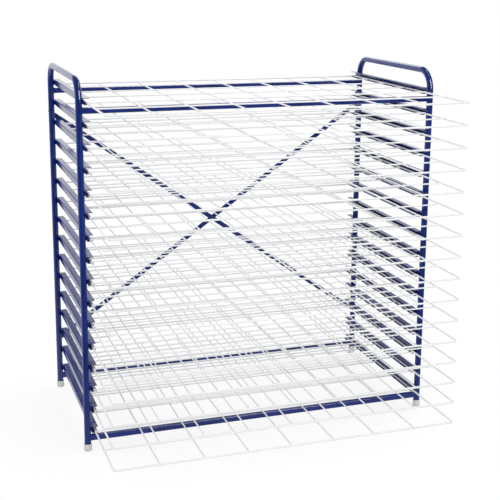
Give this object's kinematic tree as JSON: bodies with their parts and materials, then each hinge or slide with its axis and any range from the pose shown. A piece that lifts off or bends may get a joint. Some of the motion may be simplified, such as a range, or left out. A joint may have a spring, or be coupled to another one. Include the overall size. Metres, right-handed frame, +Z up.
{
  "type": "art drying rack",
  "caption": "Free-standing drying rack for wet paintings: bent-tube end frames with channel runners, rails, a crossed strap brace, and wire shelves that slide out to the front.",
  "frame": {"origin": "on the floor, under the middle of the rack's overall box at rest", "axes": "+Z up; -Y is the front, where the shelves stand out of the frame and slide out; +X is to the right of someone facing the front"},
  "size_m": [1.022, 0.7488, 1.019],
  "materials": {
    "blue_enamel": "glossy blue powder coat over mild steel tube, channel and strap",
    "white_wire_coating": "smooth white coating over welded steel wire",
    "white_plastic": "moulded off-white plastic, finely textured",
    "zinc_fastener": "bright zinc-plated screw heads"
  },
  "bodies": {
    "frame": {"left_end_tube": "blue_enamel", "right_end_tube": "blue_enamel", "front_bottom_rail": "blue_enamel", "front_top_rail": "blue_enamel", "rear_bottom_rail": "blue_enamel", "rear_top_rail": "blue_enamel", "left_runner_01": "blue_enamel", "right_runner_01": "blue_enamel", "left_runner_02": "blue_enamel", "right_runner_02": "blue_enamel", "left_runner_03": "blue_enamel", "right_runner_03": "blue_enamel", "left_runner_04": "blue_enamel", "right_runner_04": "blue_enamel", "left_runner_05": "blue_enamel", "right_runner_05": "blue_enamel", "left_runner_06": "blue_enamel", "right_runner_06": "blue_enamel", "left_runner_07": "blue_enamel", "right_runner_07": "blue_enamel", "left_runner_08": "blue_enamel", "right_runner_08": "blue_enamel", "left_runner_09": "blue_enamel", "right_runner_09": "blue_enamel", "left_runner_10": "blue_enamel", "right_runner_10": "blue_enamel", "left_runner_11": "blue_enamel", "right_runner_11": "blue_enamel", "left_runner_12": "blue_enamel", "right_runner_12": "blue_enamel", "left_runner_13": "blue_enamel", "right_runner_13": "blue_enamel", "left_runner_14": "blue_enamel", "right_runner_14": "blue_enamel", "left_runner_15": "blue_enamel", "right_runner_15": "blue_enamel", "left_runner_16": "blue_enamel", "right_runner_16": "blue_enamel", "rising_brace_strap": "blue_enamel", "falling_brace_strap": "blue_enamel", "front_left_foot": "white_plastic", "rear_left_foot": "white_plastic", "front_right_foot": "white_plastic", "rear_right_foot": "white_plastic"},
    "shelf_01": {"wire_shelf_01": "white_wire_coating"},
    "shelf_02": {"wire_shelf_02": "white_wire_coating"},
    "shelf_03": {"wire_shelf_03": "white_wire_coating"},
    "shelf_04": {"wire_shelf_04": "white_wire_coating"},
    "shelf_05": {"wire_shelf_05": "white_wire_coating"},
    "shelf_06": {"wire_shelf_06": "white_wire_coating"},
    "shelf_07": {"wire_shelf_07": "white_wire_coating"},
    "shelf_08": {"wire_shelf_08": "white_wire_coating"},
    "shelf_09": {"wire_shelf_09": "white_wire_coating"},
    "shelf_10": {"wire_shelf_10": "white_wire_coating"},
    "shelf_11": {"wire_shelf_11": "white_wire_coating"},
    "shelf_12": {"wire_shelf_12": "white_wire_coating"},
    "shelf_13": {"wire_shelf_13": "white_wire_coating"},
    "shelf_14": {"wire_shelf_14": "white_wire_coating"},
    "shelf_15": {"wire_shelf_15": "white_wire_coating"},
    "shelf_16": {"wire_shelf_16": "white_wire_coating"}
  },
  "joints": [
    {"name": "shelf_01_slide", "type": "slide", "parent": "frame", "child": "shelf_01", "axis": [0, -1, 0], "range_m": [-0.007, 0.36]},
    {"name": "shelf_02_slide", "type": "slide", "parent": "frame", "child": "shelf_02", "axis": [0, -1, 0], "range_m": [-0.007, 0.36]},
    {"name": "shelf_03_slide", "type": "slide", "parent": "frame", "child": "shelf_03", "axis": [0, -1, 0], "range_m": [-0.007, 0.36]},
    {"name": "shelf_04_slide", "type": "slide", "parent": "frame", "child": "shelf_04", "axis": [0, -1, 0], "range_m": [-0.007, 0.36]},
    {"name": "shelf_05_slide", "type": "slide", "parent": "frame", "child": "shelf_05", "axis": [0, -1, 0], "range_m": [-0.007, 0.36]},
    {"name": "shelf_06_slide", "type": "slide", "parent": "frame", "child": "shelf_06", "axis": [0, -1, 0], "range_m": [-0.007, 0.36]},
    {"name": "shelf_07_slide", "type": "slide", "parent": "frame", "child": "shelf_07", "axis": [0, -1, 0], "range_m": [-0.007, 0.36]},
    {"name": "shelf_08_slide", "type": "slide", "parent": "frame", "child": "shelf_08", "axis": [0, -1, 0], "range_m": [-0.007, 0.36]},
    {"name": "shelf_09_slide", "type": "slide", "parent": "frame", "child": "shelf_09", "axis": [0, -1, 0], "range_m": [-0.007, 0.36]},
    {"name": "shelf_10_slide", "type": "slide", "parent": "frame", "child": "shelf_10", "axis": [0, -1, 0], "range_m": [-0.007, 0.36]},
    {"name": "shelf_11_slide", "type": "slide", "parent": "frame", "child": "shelf_11", "axis": [0, -1, 0], "range_m": [-0.007, 0.36]},
    {"name": "shelf_12_slide", "type": "slide", "parent": "frame", "child": "shelf_12", "axis": [0, -1, 0], "range_m": [-0.007, 0.36]},
    {"name": "shelf_13_slide", "type": "slide", "parent": "frame", "child": "shelf_13", "axis": [0, -1, 0], "range_m": [-0.007, 0.36]},
    {"name": "shelf_14_slide", "type": "slide", "parent": "frame", "child": "shelf_14", "axis": [0, -1, 0], "range_m": [-0.007, 0.36]},
    {"name": "shelf_15_slide", "type": "slide", "parent": "frame", "child": "shelf_15", "axis": [0, -1, 0], "range_m": [-0.007, 0.36]},
    {"name": "shelf_16_slide", "type": "slide", "parent": "frame", "child": "shelf_16", "axis": [0, -1, 0], "range_m": [-0.007, 0.36]}
  ]
}
